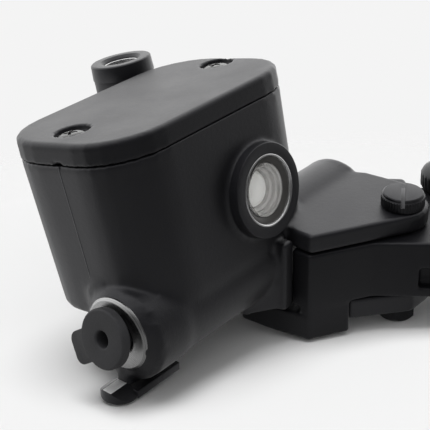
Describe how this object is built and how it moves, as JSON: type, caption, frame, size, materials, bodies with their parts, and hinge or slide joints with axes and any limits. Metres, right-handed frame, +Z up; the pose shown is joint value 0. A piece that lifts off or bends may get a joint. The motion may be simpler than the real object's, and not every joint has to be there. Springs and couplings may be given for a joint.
{
  "type": "brake master cylinder",
  "caption": "Handlebar brake master cylinder: piston barrel with a built-in fluid reservoir, screwed cover, sight glass, bar clamp, mirror boss and a pivoting lever.",
  "frame": {"origin": "centre of the handlebar bore, midway along the clamp's width", "axes": "+X along the handlebar from the fluid port to the lever's ball end, +Z up along the lever's pivot axis, +Y towards the rider"},
  "size_m": [0.2341, 0.1127, 0.0861],
  "materials": {
    "black_powder_coat": "satin black powder coat over die cast metal",
    "black_anodised": "satin black anodised",
    "zinc_plated_steel": "bright zinc plate",
    "black_steel": "blackened",
    "bare_aluminium": "machined",
    "brass": "plain",
    "black_rubber": "matte",
    "black_plastic": "matte moulded",
    "white_plastic": "moulded",
    "clear_lens": "clear"
  },
  "bodies": {
    "casting": {"body_casting": "black_powder_coat", "reservoir_cover": "black_powder_coat", "cover_screw_1": "zinc_plated_steel", "cover_screw_2": "zinc_plated_steel", "diaphragm": "black_rubber", "diaphragm_plate": "white_plastic", "sight_ring": "bare_aluminium", "sight_lens": "clear_lens", "sight_seal": "black_rubber", "sight_reflector": "white_plastic", "handlebar_clamp": "black_powder_coat", "clamp_bolt_1": "black_steel", "clamp_bolt_2": "black_steel", "port_plug": "black_rubber", "circlip": "zinc_plated_steel", "dust_boot": "black_rubber", "pivot_bolt": "black_steel", "pivot_bush": "brass", "pivot_nut": "black_steel", "brake_switch": "black_plastic", "switch_screw": "zinc_plated_steel", "switch_terminal_1": "brass", "switch_terminal_2": "brass"},
    "lever": {"brake_lever": "black_anodised", "push_arm": "bare_aluminium"},
    "wheel": {"adjuster_wheel": "black_plastic", "adjuster_pin": "zinc_plated_steel"},
    "piston_set": {"piston": "bare_aluminium", "primary_cup": "black_rubber", "secondary_cup": "black_rubber", "return_spring": "zinc_plated_steel", "push_rod": "zinc_plated_steel"},
    "plunger": {"switch_plunger": "brass"}
  },
  "joints": [
    {"name": "lever_pivot", "type": "hinge", "parent": "casting", "child": "lever", "pos_m": [0.0221, -0.07124, 0.01263], "axis": [0, 0, 1], "range_deg": [0, 18], "stiffness_Nm_per_rad": 0.6, "springref_deg": -17.19},
    {"name": "piston_slide", "type": "slide", "parent": "casting", "child": "piston_set", "axis": [-1, 0, 0], "range_m": [0, 0.0086]},
    {"name": "plunger_slide", "type": "slide", "parent": "casting", "child": "plunger", "axis": [0, -1, 0], "range_m": [0, 0.0022]},
    {"name": "adjuster_turn", "type": "hinge", "parent": "lever", "child": "wheel", "pos_m": [0.049, -0.07074, 0.0194], "axis": [0, 0, 1], "range_deg": [-120, 120]}
  ],
  "couplings": [
    {"joint": "piston_slide", "follows": "lever_pivot", "m_per_rad": 0.0273},
    {"joint": "plunger_slide", "follows": "lever_pivot", "m_per_rad": 0.007}
  ]
}
